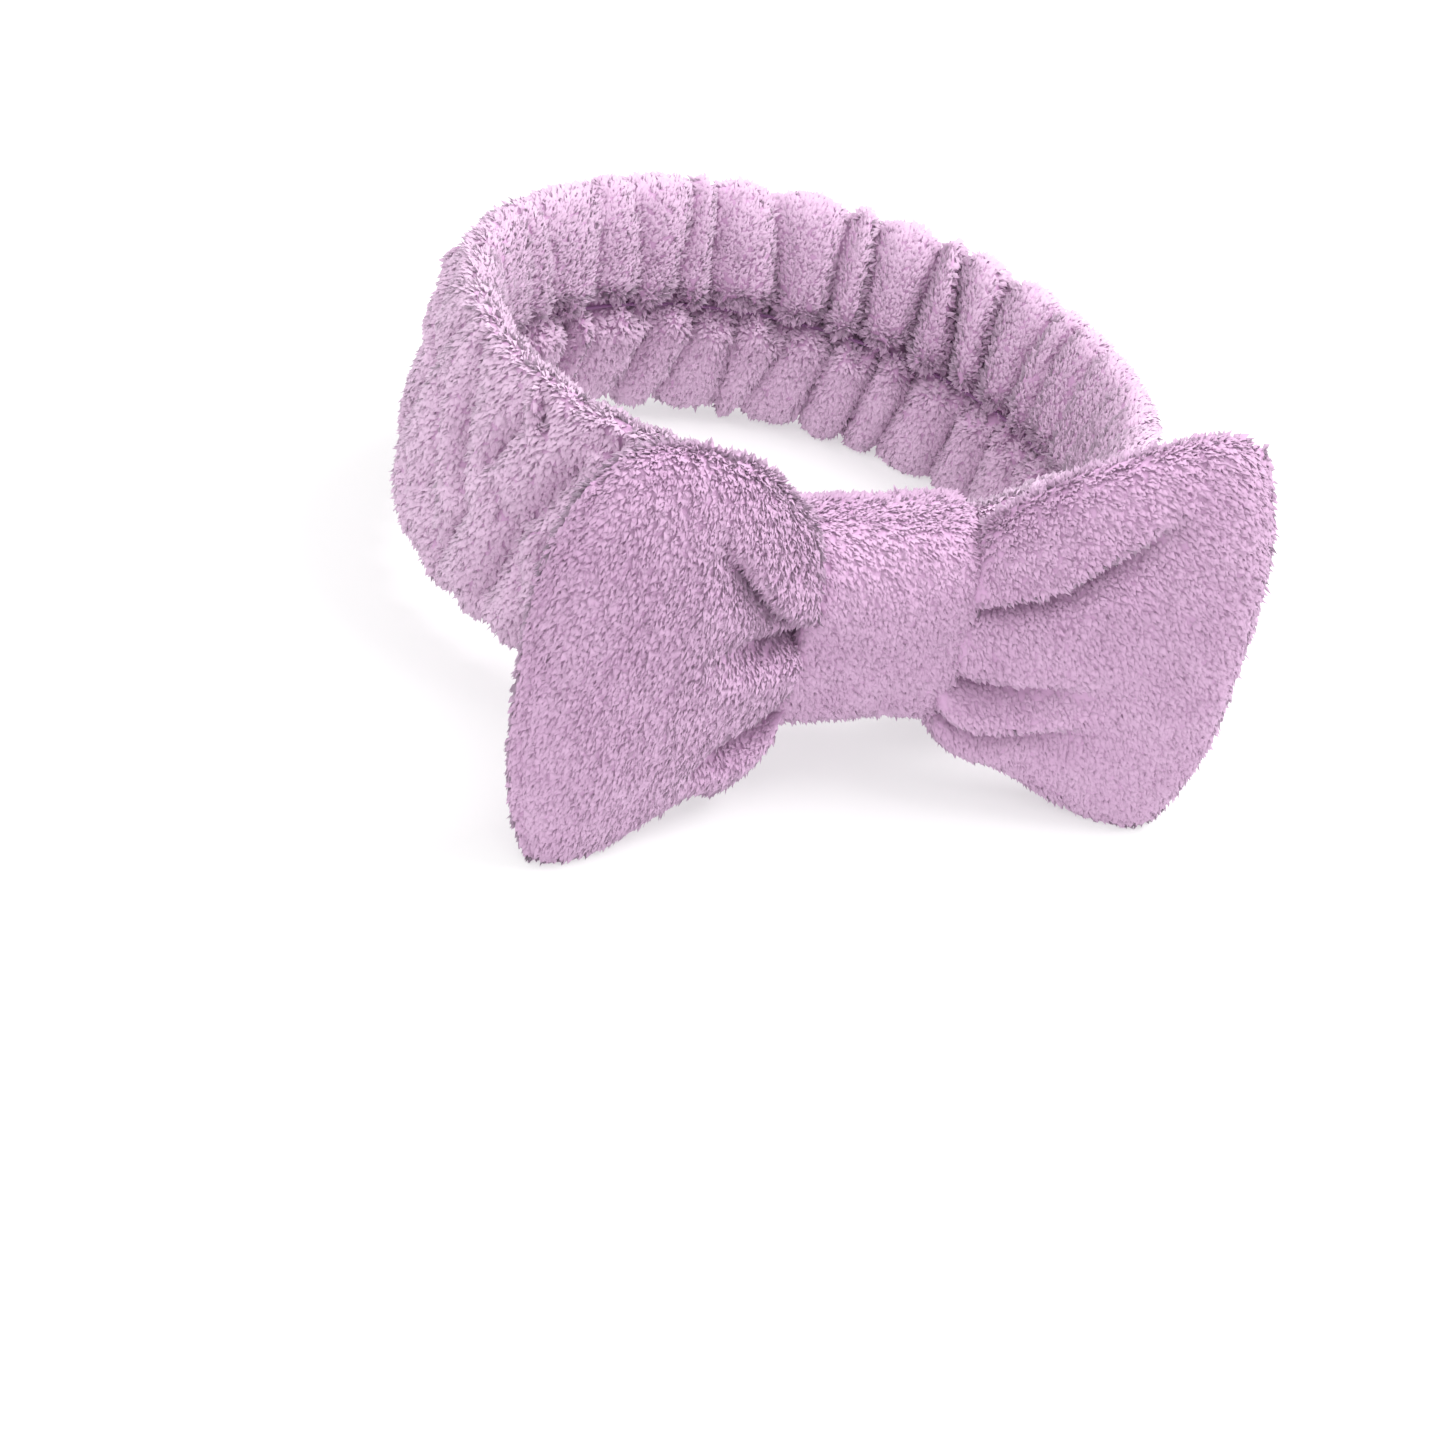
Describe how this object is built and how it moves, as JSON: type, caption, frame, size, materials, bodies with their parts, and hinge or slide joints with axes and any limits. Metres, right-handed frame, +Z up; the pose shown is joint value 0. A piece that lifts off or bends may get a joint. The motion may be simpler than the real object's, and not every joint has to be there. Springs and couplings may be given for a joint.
{
  "type": "spa headband",
  "caption": "Soft stretch hair band of plush fleece: an elastic ring in a gathered sleeve, with a padded bow held to its front by a wrapped knot.",
  "frame": {"origin": "on the ground, under the middle of the whole band at rest", "axes": "+Z up, the bow faces -Y, +X to the right of someone who looks at the bow"},
  "size_m": [0.2012, 0.1972, 0.1076],
  "materials": {
    "sleeve_fleece": "plush coral fleece",
    "bow_fleece": "plush coral fleece",
    "knot_fleece": "plush coral fleece",
    "sewing_thread": "matt polyester thread",
    "elastic_webbing": "woven elastic",
    "wadding": "soft polyester wadding"
  },
  "bodies": {
    "band_front": {"sleeve_front": "sleeve_fleece", "seam_thread_front": "sewing_thread", "elastic_strip": "elastic_webbing", "elastic_lap_thread": "sewing_thread", "bow_tack_thread": "sewing_thread", "bow_waist": "bow_fleece", "knot_strip": "knot_fleece", "knot_closing_thread": "sewing_thread"},
    "band_rear": {"sleeve_rear": "sleeve_fleece", "seam_thread_rear": "sewing_thread"},
    "left_wing": {"left_wing_cover": "bow_fleece", "left_wing_pad": "wadding", "left_wing_thread": "sewing_thread"},
    "right_wing": {"right_wing_cover": "bow_fleece", "right_wing_pad": "wadding", "right_wing_thread": "sewing_thread"}
  },
  "joints": [
    {"name": "band_stretch", "type": "slide", "parent": "band_front", "child": "band_rear", "axis": [0, 1, 0], "range_m": [0, 0.045], "stiffness_N_per_m": 160, "deforming": ["elastic_strip"]},
    {"name": "left_wing_flex", "type": "hinge", "parent": "band_front", "child": "left_wing", "pos_m": [-0.0293, -0.0742, 0.0486], "axis": [0, 0, 1], "range_deg": [-5, 35], "stiffness_Nm_per_rad": 0.03},
    {"name": "right_wing_flex", "type": "hinge", "parent": "band_front", "child": "right_wing", "pos_m": [0.0133, -0.0742, 0.0486], "axis": [0, 0, -1], "range_deg": [-5, 35], "stiffness_Nm_per_rad": 0.03}
  ]
}
